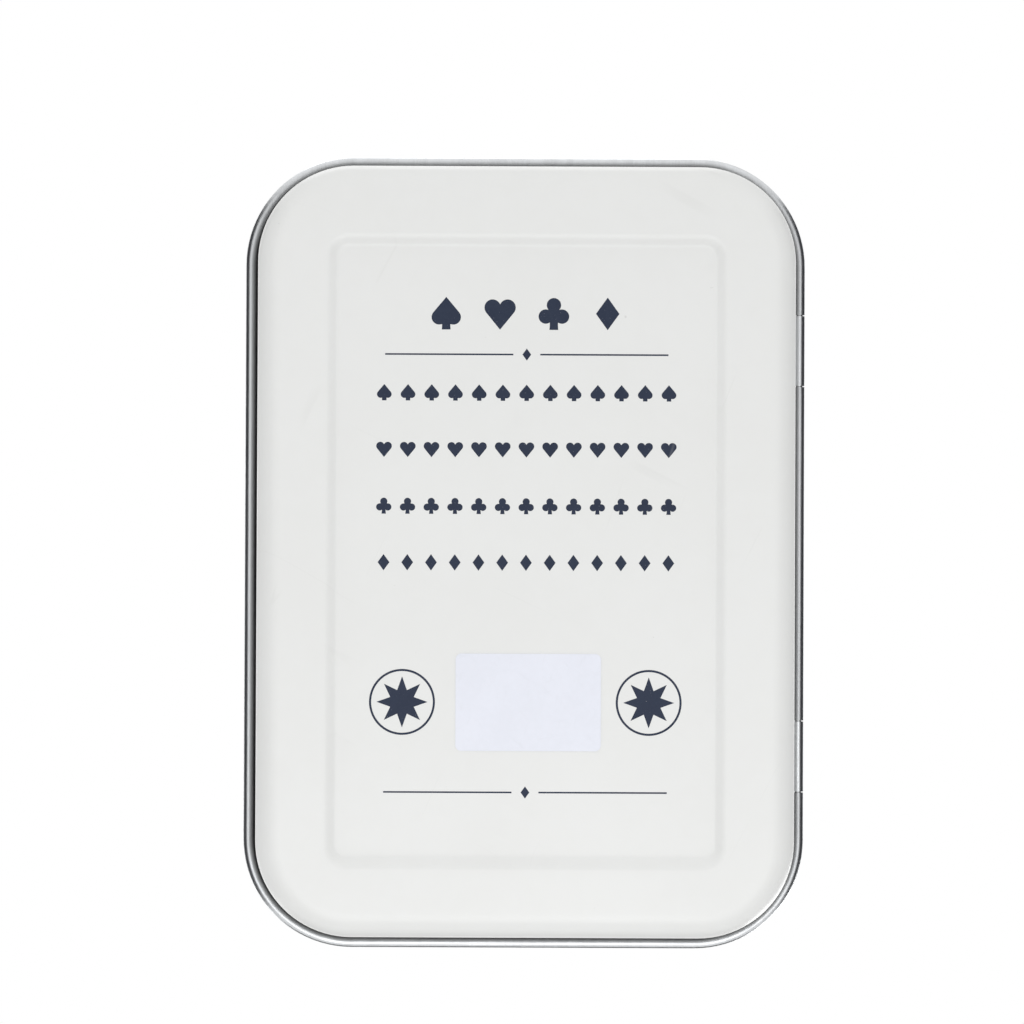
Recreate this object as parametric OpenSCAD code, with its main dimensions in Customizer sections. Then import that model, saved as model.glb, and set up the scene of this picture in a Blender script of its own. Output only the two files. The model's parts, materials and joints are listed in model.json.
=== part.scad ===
// Flat tin with a hinged lid for one deck of playing cards, with its tray, leaflet and deck.
// The closed tin stands on its base. Z is up, the hinge is on the -X side and the lid opens at +X.
// The origin is on the resting plane, under the middle of the closed tin.

/* [Tin] */
// Width of the closed tin over the rolled edge, from the hinge side to the opening side
tin_w = 80; // [76:0.5:110]
// Length of the closed tin over the rolled edge, along the hinge
tin_l = 113; // [108:0.5:150]
// Height of the closed tin
tin_h = 21; // [20.5:0.5:45]
// Corner radius of the rolled edge, seen from above
corner_r = 15.5; // [10:0.5:18]
// Thickness of the tinplate
sheet = 0.25; // [0.2:0.01:0.3]
// Share of a turn, in degrees, that every rolled edge stays open at its end
roll_open = 60; // [50:5:90]

/* [Lid] */
// Depth of the lid's side, from the ledge round its raised panel to the bottom of the rolled edge
skirt_h = 8; // [6.5:0.25:12]
// Outer diameter of the lid's rolled edge
curl_d = 1.5; // [1.3:0.05:2]
// Outer radius of the bend between the lid's top and its side
lid_bend = 2.2; // [1.4:0.1:4]
// Width of the raised panel on the lid, to the middle of its step
lid_panel_w = 61; // [40:1:66]
// Length of the raised panel on the lid, to the middle of its step
lid_panel_l = 94; // [60:1:98]
// Corner radius of the raised panel on the lid, to the middle of its step
lid_panel_r = 5; // [2:0.25:9]
// Height of the raised panel over the ledge round it
lid_rise = 0.45; // [0.3:0.05:0.9]

/* [Base] */
// Play between the base and the lid on the hinge side
hinge_gap = 0.25; // [0.2:0.01:0.4]
// Play between the base and the lid on the opening side
front_gap = 0.55; // [0.4:0.01:0.7]
// Play between the base and the lid at each end
end_gap = 0.4; // [0.2:0.01:0.6]
// Clearance between the base's rolled rim and the inside of the lid's bend
rim_fit = 0.2; // [0.1:0.01:0.4]
// Outer diameter of the rim that the base's side rolls inward to
rim_d = 1.4; // [1.2:0.05:1.8]
// Outer radius of the bend between the base's bottom and its side
base_bend = 3.4; // [1.5:0.1:5]
// Width of the recessed panel under the base, to the middle of its step
base_panel_w = 55; // [35:1:62]
// Length of the recessed panel under the base, to the middle of its step
base_panel_l = 87.8; // [60:0.1:95]
// Corner radius of the recessed panel under the base, to the middle of its step
base_panel_r = 2.4; // [1.6:0.1:8]
// Depth of the recessed panel under the base
base_recess = 0.8; // [0.3:0.05:0.9]
// Width over which the step of either panel rises
step_run = 2.4; // [1.2:0.1:2.8]

/* [Hinge] */
// Distance between the middles of the two hinge lugs
lug_span = 58; // [30:1:64]
// Width of each hinge lug
lug_w = 10; // [6:0.5:14]
// Play at each side of a lug in its slot in the lid's rolled edge
lug_play = 0.15; // [0.1:0.01:0.3]
// Height of the slots in the lid over the hinge axis
slot_rise = 1.3; // [1.1:0.05:1.8]
// Wall left between the rolled rim and the window that each lug leaves in the base's side
window_land = 0.4; // [0.2:0.1:1]
// Radial play of the hinge wire inside the rolled edge and the lugs
wire_fit = 0.05; // [0.02:0.01:0.1]
// Length of wire that reaches past each lug
wire_tail = 5; // [3:0.5:7]

/* [Tray] */
// Thickness of the tray's plastic sheet
tray_t = 0.5; // [0.3:0.05:0.8]
// Play between the tray and the inside of the base
tray_gap = 0.3; // [0.2:0.05:0.6]
// Play between the tray's top and the base's rolled rim over it
tray_drop = 0.2; // [0.1:0.05:0.6]
// Radius of the two finger wells at the sides of the deck
well_r = 9; // [7:0.25:11]
// Depth of the finger wells
well_depth = 12; // [6:0.5:13]
// Land between a finger well's wall and the tray's outer side
well_land = 1; // [0.6:0.1:2]

/* [Cards] */
// Width of a card
card_w = 57; // [52:0.5:60]
// Length of a card
card_l = 88; // [80:0.5:91]
// Thickness of a card
card_t = 0.28; // [0.2:0.01:0.3]
// Corner radius of a card
card_r = 3.5; // [2:0.25:5]
// Air between one card and the next
card_air = 0.01; // [0.005:0.005:0.015]
// Play between the deck and each side of its pocket
card_fit = 0.5; // [0.3:0.05:1]
// Cards in one suit
suit_cards = 13; // [8:1:13]
// Extra cards that belong to no suit
jokers = 2; // [1:1:3]

/* [Leaflet] */
// Width of the folded leaflet
leaflet_w = 54; // [40:1:56]
// Length of the folded leaflet
leaflet_l = 85; // [60:1:87]
// Layers that the leaflet is folded into
leaflet_layers = 3; // [2:1:3]
// Thickness of the leaflet's paper
paper_t = 0.12; // [0.08:0.01:0.15]
// Air between two layers of the folded leaflet
paper_air = 0.1; // [0.06:0.01:0.12]

/* [Label] */
// Width of the blank label under the base
label_w = 20.5; // [12:0.5:30]
// Length of the blank label under the base
label_l = 13.7; // [8:0.1:20]
// Thickness of the label
label_t = 0.1; // [0.05:0.01:0.2]
// Corner radius of the label
label_r = 0.8; // [0.4:0.1:2]
// Distance of the label's middle from the panel's middle, towards the opening side
label_x = -0.4; // [-8:0.1:8]
// Distance of the label's middle from the panel's middle, towards the -Y end
label_y = 21.3; // [-25:0.1:25]

/* [Hidden] */
$fn = 96;

enamel = "#e8e9e7";
bare_steel = "#b9bcbe";
tray_black = "#23262c";
card_white = "#f4f2ec";
card_navy = "#28324a";
paper_white = "#eeebe2";

// Overlap that makes a cut run clean through what it cuts
through = 1;
// Flat strip of a bend or a step that lies in the flat sheet beside it
lap = 0.1;
// Flat facets that one side of a panel's step is made of
step_facets = 8;
suits = 4;

function hundredths(v) = round(v * 100) / 100;

// Lid, worked down from its ledge
curl_r = curl_d / 2;
ledge_z = tin_h - lid_rise;
axis_z = ledge_z - skirt_h + curl_r;
axis_x = curl_r - tin_w / 2;
lid_top_w = tin_w - 2 * (curl_d - sheet);
lid_top_l = tin_l - 2 * (curl_d - sheet);
lid_top_r = corner_r - curl_d + sheet;

// Base, set inside the lid's side with the named plays
base_w = tin_w - 2 * curl_d - hinge_gap - front_gap;
base_l = tin_l - 2 * curl_d - 2 * end_gap;
base_r = corner_r - curl_d - end_gap;
base_x = (hinge_gap - front_gap) / 2;
wall_x = base_x - base_w / 2;

// The rim nests under the lid's bend: the height at which its roll is rim_fit clear of the bend
rim_r = rim_d / 2;
bend_in = lid_bend - sheet;
side_gap = min(hinge_gap, end_gap, front_gap);
roll_reach = max(0, bend_in - rim_r - rim_fit);
roll_side = max(0, bend_in - rim_r - side_gap);
roll_rise = sqrt(max(0, roll_reach * roll_reach - roll_side * roll_side));
rim_seat = hundredths(max(rim_fit, bend_in - rim_r - roll_rise));
base_h = ledge_z - sheet - rim_seat;
panel_floor_z = base_recess + sheet;
window_z = axis_z + curl_r;

// Hinge wire, running in the roll
wire_r = curl_r - sheet - wire_fit;
wire_l = lug_span + lug_w + 2 * wire_tail;

// Tray, between the base's sides and under its rim
tray_w = base_w - 2 * (sheet + tray_gap);
tray_l = base_l - 2 * (sheet + tray_gap);
tray_r = base_r - sheet - tray_gap;
tray_top = base_h - rim_d - tray_drop;
pocket_w = card_w + 2 * card_fit;
pocket_l = card_l + 2 * card_fit;
pocket_r = card_r + card_fit;
pocket_floor_z = panel_floor_z + tray_t;
well_x = tray_w / 2 - 2 * tray_t - well_land - well_r;
well_floor_z = tray_top - well_depth;

// Contents of the pocket, stacked on its floor
leaflet_step = paper_t + paper_air;
leaflet_h = leaflet_layers * leaflet_step - paper_air;
deck_z = pocket_floor_z + leaflet_h;
card_pitch = card_t + card_air;

// Plate with round corners, standing on z = 0
module plate(w, l, r, h) {
    translate([r - w / 2, -l / 2, 0])
        cube([w - 2 * r, l, h]);
    translate([-w / 2, r - l / 2, 0])
        cube([w, l - 2 * r, h]);
    at_corners(w, l, r)
        rotate_extrude(angle = 90)
            square([r, h]);
}

// Places a quarter turn at each corner centre of a round-cornered outline
module at_corners(w, l, r) {
    for (turn = [0 : 3]) {
        side = [[1, 1], [-1, 1], [-1, -1], [1, -1]][turn];
        translate([side[0] * (w / 2 - r), side[1] * (l / 2 - r), 0])
            rotate(90 * turn)
                children();
    }
}

// Carries a section round a round-cornered outline: x = 0 is on the outline, outward is +x
module around(w, l, r) {
    at_corners(w, l, r)
        rotate_extrude(angle = 90)
            translate([r, 0])
                children();
    for (turn = [0 : 3]) {
        reach = turn % 2 == 0 ? w / 2 : l / 2;
        run = turn % 2 == 0 ? l / 2 - r : w / 2 - r;
        rotate(90 * turn)
            translate([reach, run, 0])
                rotate([90, 0, 0])
                    linear_extrude(height = 2 * run)
                        children();
    }
}

// Section of a quarter bend in the sheet, about its own centre, from the angle given
module bend(r_out, from) {
    rotate(from)
        intersection() {
            difference() {
                circle(r_out);
                circle(r_out - sheet);
            }
            square(2 * r_out);
        }
}

// Section of a rolled edge about its own centre, open from the angle given
module roll(r_out, open_from) {
    far = 2 * r_out;
    difference() {
        circle(r_out);
        circle(r_out - sheet);
        polygon([
            [0, 0],
            far * [cos(open_from), sin(open_from)],
            far * [cos(open_from + roll_open / 2), sin(open_from + roll_open / 2)],
            far * [cos(open_from + roll_open), sin(open_from + roll_open)]
        ]);
    }
}

// Section of a panel's step, falling outward from the height given down to zero, with a lap at each end
module step(rise) {
    function ease(i) = rise * (1 + cos(180 * i / step_facets)) / 2;
    function out(i) = step_run * i / step_facets - step_run;
    polygon([
        [-step_run - lap, rise],
        for (i = [0 : step_facets]) [out(i), ease(i)],
        [lap, 0],
        [lap, sheet],
        for (i = [step_facets : -1 : 0]) [out(i), ease(i) + sheet],
        [-step_run - lap, rise + sheet]
    ]);
}

// Flat end of a shell: a ledge with round corners and, past a soft step, a panel
module stepped_end(w, l, r, panel_w, panel_l, panel_r, rise) {
    step_w = panel_w + step_run;
    step_l = panel_l + step_run;
    step_r = panel_r + step_run / 2;
    difference() {
        plate(w, l, r, sheet);
        translate([0, 0, -through])
            plate(step_w, step_l, step_r, sheet + 2 * through);
    }
    around(step_w, step_l, step_r)
        step(rise);
    translate([0, 0, rise])
        plate(panel_w - step_run, panel_l - step_run, panel_r - step_run / 2, sheet);
}

// Side of the base: bend at the bottom, wall, and rim rolled inward
module base_side() {
    around(base_w, base_l, base_r) {
        translate([-base_bend, base_bend])
            bend(base_bend, 270);
        translate([-base_bend - lap, 0])
            square([lap, sheet]);
        translate([-sheet, base_bend])
            square([sheet, base_h - rim_r - base_bend]);
        translate([-rim_r, base_h - rim_r])
            roll(rim_r, 360 - roll_open);
    }
}

// Hinge lug: a tab of the base's wall, bent out and rolled round the hinge wire
module lug() {
    translate([axis_x, lug_w / 2, axis_z])
        rotate([90, 0, 0])
            linear_extrude(height = lug_w) {
                translate([0, curl_r - sheet])
                    square([wall_x + sheet - axis_x, sheet]);
                roll(curl_r, 90 - roll_open);
            }
}

module at_lugs() {
    for (side = [-1, 1])
        translate([0, side * lug_span / 2, 0])
            children();
}

module base_shell() {
    color(enamel) {
        difference() {
            translate([base_x, 0, 0])
                base_side();
            at_lugs()
                translate([wall_x - through, -lug_w / 2, window_z])
                    cube([sheet + 2 * through, lug_w, base_h - rim_d - window_land - window_z]);
        }
        translate([base_x, 0, 0])
            stepped_end(base_w - 2 * base_bend, base_l - 2 * base_bend, base_r - base_bend,
                base_panel_w, base_panel_l, base_panel_r, base_recess);
        at_lugs()
            lug();
    }
}

// Side of the lid: bend at the top, wall, and edge rolled outward
module lid_side() {
    around(tin_w, tin_l, corner_r) {
        translate([sheet - curl_d - lid_bend, ledge_z - lid_bend])
            bend(lid_bend, 0);
        translate([sheet - curl_d - lid_bend - lap, ledge_z - sheet])
            square([lap, sheet]);
        translate([-curl_d, axis_z])
            square([sheet, ledge_z - lid_bend - axis_z]);
        translate([-curl_r, axis_z])
            roll(curl_r, 180 - roll_open);
    }
}

module lid_shell() {
    slot_w = lug_w + 2 * lug_play;
    color(enamel) {
        difference() {
            lid_side();
            at_lugs()
                translate([-tin_w / 2 - through, -slot_w / 2, axis_z - curl_r - through])
                    cube([through + curl_d + hinge_gap / 2, slot_w, through + curl_r + slot_rise]);
        }
        translate([0, 0, ledge_z - sheet])
            stepped_end(lid_top_w - 2 * lid_bend, lid_top_l - 2 * lid_bend, lid_top_r - lid_bend,
                lid_panel_w, lid_panel_l, lid_panel_r, lid_rise);
    }
}

module hinge_wire() {
    color(bare_steel)
        translate([axis_x, wire_l / 2, axis_z])
            rotate([90, 0, 0])
                cylinder(r = wire_r, h = wire_l);
}

// Tray: a flange with an outer side, a pocket for the deck and a well for a finger on each side
module card_tray() {
    color(tray_black)
        translate([base_x, 0, 0])
            difference() {
                union() {
                    translate([0, 0, tray_top - tray_t])
                        plate(tray_w, tray_l, tray_r, tray_t);
                    tray_side();
                    translate([0, 0, panel_floor_z])
                        plate(pocket_w + 2 * tray_t, pocket_l + 2 * tray_t, pocket_r + tray_t,
                            tray_top - panel_floor_z);
                    at_wells()
                        translate([0, 0, well_floor_z - tray_t])
                            cylinder(r = well_r + tray_t, h = well_depth + tray_t);
                }
                translate([0, 0, pocket_floor_z])
                    plate(pocket_w, pocket_l, pocket_r, tray_top);
                at_wells()
                    translate([0, 0, well_floor_z])
                        cylinder(r = well_r, h = well_depth + through);
            }
}

module tray_side() {
    difference() {
        translate([0, 0, base_bend])
            plate(tray_w, tray_l, tray_r, tray_top - base_bend);
        translate([0, 0, base_bend - through])
            plate(tray_w - 2 * tray_t, tray_l - 2 * tray_t, tray_r - tray_t, tray_top);
    }
}

module at_wells() {
    for (side = [-1, 1])
        translate([side * well_x, 0, 0])
            children();
}

// Folded leaflet, its folds along its length on one side and the other in turn
module rules_leaflet() {
    color(paper_white)
        translate([base_x - leaflet_w / 2, leaflet_l / 2, pocket_floor_z])
            rotate([90, 0, 0])
                linear_extrude(height = leaflet_l) {
                    for (i = [0 : leaflet_layers - 1])
                        translate([0, i * leaflet_step])
                            square([leaflet_w, paper_t]);
                    for (i = [0 : leaflet_layers - 2])
                        translate([i % 2 == 0 ? 0 : leaflet_w - paper_t, i * leaflet_step])
                            square([paper_t, leaflet_step + paper_t]);
                }
}

// Run of cards in the deck, counted from its lowest card
module cards(first, count) {
    for (i = [first : first + count - 1])
        translate([base_x, 0, deck_z + i * card_pitch])
            plate(card_w, card_l, card_r, card_t);
}

module cards_jokers() {
    color(card_navy)
        cards(0, jokers);
}

module suit(place) {
    color(card_white)
        cards(jokers + place * suit_cards, suit_cards);
}

module cards_clubs() {
    suit(0);
}

module cards_diamonds() {
    suit(1);
}

module cards_hearts() {
    suit(2);
}

module cards_spades() {
    suit(suits - 1);
}

module back_label() {
    color(card_white)
        translate([base_x + label_x, -label_y, base_recess - label_t])
            plate(label_w, label_l, label_r, label_t);
}

base_shell();
lid_shell();
hinge_wire();
card_tray();
rules_leaflet();
cards_spades();
cards_hearts();
cards_diamonds();
cards_clubs();
cards_jokers();
back_label();
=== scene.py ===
import json
import math
import random

import bpy
import bmesh
from mathutils import Matrix, Vector


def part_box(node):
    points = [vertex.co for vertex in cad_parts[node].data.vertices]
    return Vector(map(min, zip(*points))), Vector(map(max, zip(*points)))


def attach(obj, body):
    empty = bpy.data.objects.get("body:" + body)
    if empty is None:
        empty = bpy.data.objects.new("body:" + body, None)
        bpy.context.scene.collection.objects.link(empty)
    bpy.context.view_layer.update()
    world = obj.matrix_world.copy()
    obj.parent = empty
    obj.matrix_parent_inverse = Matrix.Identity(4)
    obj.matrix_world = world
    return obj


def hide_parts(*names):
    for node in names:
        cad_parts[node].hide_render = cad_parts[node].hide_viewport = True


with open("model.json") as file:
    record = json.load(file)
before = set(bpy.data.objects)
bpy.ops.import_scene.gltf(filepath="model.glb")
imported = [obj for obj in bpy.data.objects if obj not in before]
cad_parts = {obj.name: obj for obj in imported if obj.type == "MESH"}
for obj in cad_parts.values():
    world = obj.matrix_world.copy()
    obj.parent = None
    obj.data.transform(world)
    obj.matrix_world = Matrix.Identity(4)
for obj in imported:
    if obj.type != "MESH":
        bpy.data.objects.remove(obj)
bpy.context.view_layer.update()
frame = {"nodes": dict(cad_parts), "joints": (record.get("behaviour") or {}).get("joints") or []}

# sizes below are in millimetres and angles in degrees unless a note says otherwise
mm = 0.001
tiny = 0.000001  # smaller than any size here that counts


# lowest and highest corner of a CAD node, rounded as the part's own sizes are
def nodeBox(node):
    return [[round(value / mm, 2) for value in corner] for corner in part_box(node)]


# what the frame says about the hinge and the pieces that are made anew here
lidHigh = nodeBox("lid_shell")[1]
baseHigh = nodeBox("base_shell")[1]
trayLow, trayHigh = nodeBox("card_tray")
deckLow = nodeBox("cards_jokers")[0]
deckHigh = nodeBox("cards_spades")[1]
hingeX, _, hingeZ = [round(value / mm, 2) for value in frame["joints"][0]["pos_m"]]
shiftX = (trayLow[0] + trayHigh[0]) / 2  # the base and what it holds lie nearer the hinge

# what both shells share
tin = {
    "sheet": 0.25,  # thickness of the tinplate
    "rollSweep": 300,  # how far every rolled edge turns
    "cornerSteps": 22,  # facets in a quarter turn of the outline
    "bendSteps": 12,  # facets in a bend of the sheet
    "rollSteps": 30,  # facets in a rolled edge
    "stepSteps": 16,  # facets across the soft step of a panel
    "stepRun": 1.9,  # width of that step
    "stepReach": 1.08,  # how far it reaches out from the panel's outline
    "stepSkew": 0.8,  # under 1 the step bends more tightly beside the panel than beside the ledge
    "stepWear": 0.75,  # how rubbed its crest is
    "ledgeWear": (0.2, 0.35),  # the same beside the step and beside the bend
    "supportGap": 0.25,  # flat left beside a bend, so that its shading stays there
    "lugMiddle": 29.0,  # distance of each hinge lug from the middle
    "sideStops": (-12.0, 0.0, 12.0),  # points along a side, besides those at the lugs
    "endStops": (-16.0, -8.0, 0.0, 8.0, 16.0),  # points along an end
}


# material tools

# sets a node's inputs: a socket is linked, a number or a colour is written
def feed(tree, node, inputs):
    for key, value in inputs.items():
        if isinstance(value, bpy.types.NodeSocket):
            tree.links.new(value, node.inputs[key])
        else:
            node.inputs[key].default_value = value
    return node


def put(tree, kind, inputs=None, **settings):
    node = tree.nodes.new(kind)
    for key, value in settings.items():
        setattr(node, key, value)
    return feed(tree, node, inputs or {})


def maths(tree, operation, first, second=0.0, third=0.0, clamp=False):
    inputs = {0: first, 1: second, 2: third}
    return put(tree, "ShaderNodeMath", inputs, operation=operation, use_clamp=clamp).outputs[0]


def mixColour(tree, share, first, second):
    inputs = {0: share, 6: first, 7: second}
    return put(tree, "ShaderNodeMix", inputs, data_type="RGBA").outputs[2]


# turns a value into a mask that rises from 0 at low to 1 at high
def ramp(tree, value, low, high):
    inputs = {"Value": value, "From Min": low, "From Max": high}
    return put(tree, "ShaderNodeMapRange", inputs, interpolation_type="SMOOTHSTEP").outputs[0]


# a value between two limits, as a mask says
def between(tree, mask, limits):
    return maths(tree, "MULTIPLY_ADD", mask, limits[1] - limits[0], limits[0])


def noise(tree, vector, scale, detail=2.0, roughness=0.5):
    inputs = {"Vector": vector, "Scale": scale, "Detail": detail, "Roughness": roughness}
    return put(tree, "ShaderNodeTexNoise", inputs).outputs[0]


def bump(tree, height, distance, strength=1.0, normal=None, invert=False):
    inputs = {"Height": height, "Distance": distance, "Strength": strength}
    if normal is not None:
        inputs["Normal"] = normal
    return put(tree, "ShaderNodeBump", inputs, invert=invert).outputs[0]


def attribute(tree, name):
    return put(tree, "ShaderNodeAttribute", attribute_name=name).outputs["Fac"]


# a place turned about Z and then drawn out along its own Y, for marks that run at an angle
def turnedPlace(tree, vector, angle, length):
    inputs = {"Vector": vector, "Scale": (1.0, length, 1.0), "Rotation": (0.0, 0.0, math.radians(angle))}
    return put(tree, "ShaderNodeMapping", inputs, vector_type="TEXTURE").outputs[0]


def clearTree(owner):
    owner.use_nodes = True
    owner.node_tree.nodes.clear()
    return owner.node_tree


floatSocket = "NodeSocketFloat"
colourSocket = "NodeSocketColor"
vectorSocket = "NodeSocketVector"


# an empty node group, the sockets that it is given and the node that takes its results
def newGroup(name, inputs, outputs):
    tree = bpy.data.node_groups.new(name, "ShaderNodeTree")
    tree.interface.new_socket(name="Vector", in_out="INPUT", socket_type=vectorSocket)
    for label, kind, value in inputs:
        socket = tree.interface.new_socket(name=label, in_out="INPUT", socket_type=kind)
        socket.default_value = value
    for label, kind in outputs:
        tree.interface.new_socket(name=label, in_out="OUTPUT", socket_type=kind)
    return tree, put(tree, "NodeGroupInput").outputs, put(tree, "NodeGroupOutput")


# soft, cloudy variation of a colour
def makeMottle():
    inputs = [("Color", colourSocket, (0.8, 0.8, 0.8, 1)), ("Tint", colourSocket, (0.7, 0.7, 0.68, 1)),
              ("Scale", floatSocket, 60.0), ("Amount", floatSocket, 0.1)]
    tree, given, result = newGroup("mottle", inputs, [("Color", colourSocket), ("Mask", floatSocket)])
    coarse = noise(tree, given["Vector"], given["Scale"], 3.0)
    fineScale = maths(tree, "MULTIPLY", given["Scale"], 7.3)
    fine = noise(tree, given["Vector"], fineScale, 4.0, 0.6)
    both = maths(tree, "MULTIPLY_ADD", fine, 0.4, maths(tree, "MULTIPLY", coarse, 0.6))
    mask = ramp(tree, both, 0.35, 0.65)
    share = maths(tree, "MULTIPLY", mask, given["Amount"])
    feed(tree, result, {"Color": mixColour(tree, share, given["Color"], given["Tint"]), "Mask": mask})
    return tree


# long fine lines along one direction, as rolling or brushing leaves them
def makeGrain():
    inputs = [("Along", vectorSocket, (1.0, 0.02, 1.0)), ("Scale", floatSocket, 4000.0)]
    tree, given, result = newGroup("grain", inputs, [("Height", floatSocket), ("Mask", floatSocket)])
    stretched = put(tree, "ShaderNodeVectorMath", {0: given["Vector"], 1: given["Along"]},
                    operation="MULTIPLY").outputs[0]
    line = noise(tree, stretched, given["Scale"], 3.0, 0.65)
    broad = noise(tree, stretched, maths(tree, "MULTIPLY", given["Scale"], 0.13))
    height = maths(tree, "MULTIPLY_ADD", broad, 0.5, maths(tree, "MULTIPLY", line, 0.5))
    feed(tree, result, {"Height": height, "Mask": ramp(tree, height, 0.4, 0.62)})
    return tree


# thin stray scratches in two directions
def makeScratches():
    inputs = [("Scale", floatSocket, 60.0), ("Amount", floatSocket, 0.5)]
    tree, given, result = newGroup("scratches", inputs, [("Mask", floatSocket)])
    masks = []
    for angle, length, spacing in ((25.0, 20.0, 0.7), (-61.0, 16.0, 0.43)):
        turned = turnedPlace(tree, given["Vector"], angle, length)
        offMiddle = maths(tree, "SUBTRACT", noise(tree, turned, given["Scale"], 1.0), 0.5)
        thin = ramp(tree, maths(tree, "ABSOLUTE", offMiddle), 0.006, 0.0)
        # the patches of the two directions lie apart, so that few scratches cross
        patchScale = maths(tree, "MULTIPLY", given["Scale"], spacing)
        patch = ramp(tree, noise(tree, given["Vector"], patchScale, 1.0), 0.58, 0.7)
        masks.append(maths(tree, "MULTIPLY", thin, patch))
    both = maths(tree, "MAXIMUM", masks[0], masks[1])
    feed(tree, result, {"Mask": maths(tree, "MULTIPLY", both, given["Amount"])})
    return tree


# rubbed places where a mesh says that an edge is, broken up by noise
def makeEdgeRub():
    inputs = [("Edge", floatSocket, 0.0), ("Scale", floatSocket, 300.0), ("Reach", floatSocket, 0.5)]
    tree, given, result = newGroup("edgeRub", inputs, [("Mask", floatSocket)])
    broken = noise(tree, given["Vector"], given["Scale"], 5.0, 0.7)
    reached = maths(tree, "MULTIPLY", given["Edge"], given["Reach"])
    feed(tree, result, {"Mask": ramp(tree, maths(tree, "ADD", broken, reached), 0.98, 1.1)})
    return tree


# small round dents and pimples, as in a sprayed or moulded skin
def makePeel():
    inputs = [("Scale", floatSocket, 900.0), ("Fine", floatSocket, 0.3)]
    tree, given, result = newGroup("peel", inputs, [("Height", floatSocket)])
    cells = put(tree, "ShaderNodeTexVoronoi", {"Vector": given["Vector"], "Scale": given["Scale"],
                                               "Smoothness": 1.0}, feature="SMOOTH_F1").outputs[0]
    fine = noise(tree, given["Vector"], maths(tree, "MULTIPLY", given["Scale"], 4.7), 3.0)
    feed(tree, result, {"Height": maths(tree, "MULTIPLY_ADD", fine, given["Fine"], cells)})
    return tree


# crossing paper fibres
def makeFibre():
    inputs = [("Scale", floatSocket, 900.0)]
    tree, given, result = newGroup("fibre", inputs, [("Height", floatSocket), ("Mask", floatSocket)])
    heights = []
    for angle in (15.0, 75.0, 135.0):
        turned = turnedPlace(tree, given["Vector"], angle, 6.0)
        heights.append(noise(tree, turned, given["Scale"], 2.0, 0.6))
    height = maths(tree, "MAXIMUM", maths(tree, "MAXIMUM", heights[0], heights[1]), heights[2])
    feed(tree, result, {"Height": height, "Mask": ramp(tree, height, 0.6, 0.8)})
    return tree


groups = {
    "mottle": makeMottle(),
    "grain": makeGrain(),
    "scratches": makeScratches(),
    "edgeRub": makeEdgeRub(),
    "peel": makePeel(),
    "fibre": makeFibre(),
}


# an empty material with its shader, and the object's own coordinates in metres
def newMaterial(name):
    material = bpy.data.materials.new(name)
    tree = clearTree(material)
    shader = put(tree, "ShaderNodeBsdfPrincipled")
    put(tree, "ShaderNodeOutputMaterial", {0: shader.outputs[0]})
    return material, tree, shader, put(tree, "ShaderNodeTexCoord").outputs["Object"]


# the group nodes, each with its settings from the look of a material
def useGroup(tree, place, name, look, **settings):
    inputs = {"Vector": place}
    for socket, key in settings.items():
        inputs[socket] = look[key]
    return put(tree, "ShaderNodeGroup", inputs, node_tree=groups[name]).outputs


def mottled(tree, place, look):
    return useGroup(tree, place, "mottle", look, Color="colour", Tint="tint", Scale="cloudScale",
                    Amount="cloudAmount")


def scratched(tree, place, look):
    return useGroup(tree, place, "scratches", look, Scale="scratchScale", Amount="scratchAmount")["Mask"]


def rubbed(tree, place, look):
    mask = useGroup(tree, place, "edgeRub", look, Scale="rubScale", Reach="rubReach")["Mask"]
    feed(tree, mask.node, {"Edge": attribute(tree, "wear")})
    return mask


def peeled(tree, place, look, normal=None):
    height = useGroup(tree, place, "peel", look, Scale="peelScale", Fine="peelFine")["Height"]
    return bump(tree, height, look["peelHeight"], normal=normal)


# a metal's colour and normal with the grain on it
def grained(tree, place, look, colour):
    grain = useGroup(tree, place, "grain", look, Along="grainAlong", Scale="grainScale")
    share = maths(tree, "MULTIPLY", grain["Mask"], look["grainAmount"])
    normal = bump(tree, grain["Height"], look["grainHeight"])
    return mixColour(tree, share, colour, look["grainColour"]), normal


# materials: scales are per metre, heights in metres, and a roughness runs between its two values

enamelLook = {
    "colour": (0.800, 0.806, 0.796, 1),
    "tint": (0.765, 0.768, 0.752, 1),
    "cloudScale": 45.0,
    "cloudAmount": 0.35,
    "metal": (0.55, 0.56, 0.57, 1),  # where the enamel is rubbed off
    "metallic": 0.9,
    "rubScale": 420.0,
    "dull": (0.52, 0.52, 0.5, 1),  # in specks and scratches
    "speckScale": 950.0,
    "speckAmount": 0.35,
    "scratchScale": 110.0,
    "scratchRoughness": 0.3,
    "roughness": (0.30, 0.42),
    "smearScale": 28.0,
    "peelScale": 620.0,
    "peelFine": 0.12,
    "peelHeight": 0.0000035,
    "waveScale": 34.0,
    "waveHeight": 0.00022,
    "cutDepth": 0.000006,
    "cutStrength": 0.6,
    "specular": 0.32,
    "coat": 0.12,
    "coatRoughness": 0.18,
}


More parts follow.
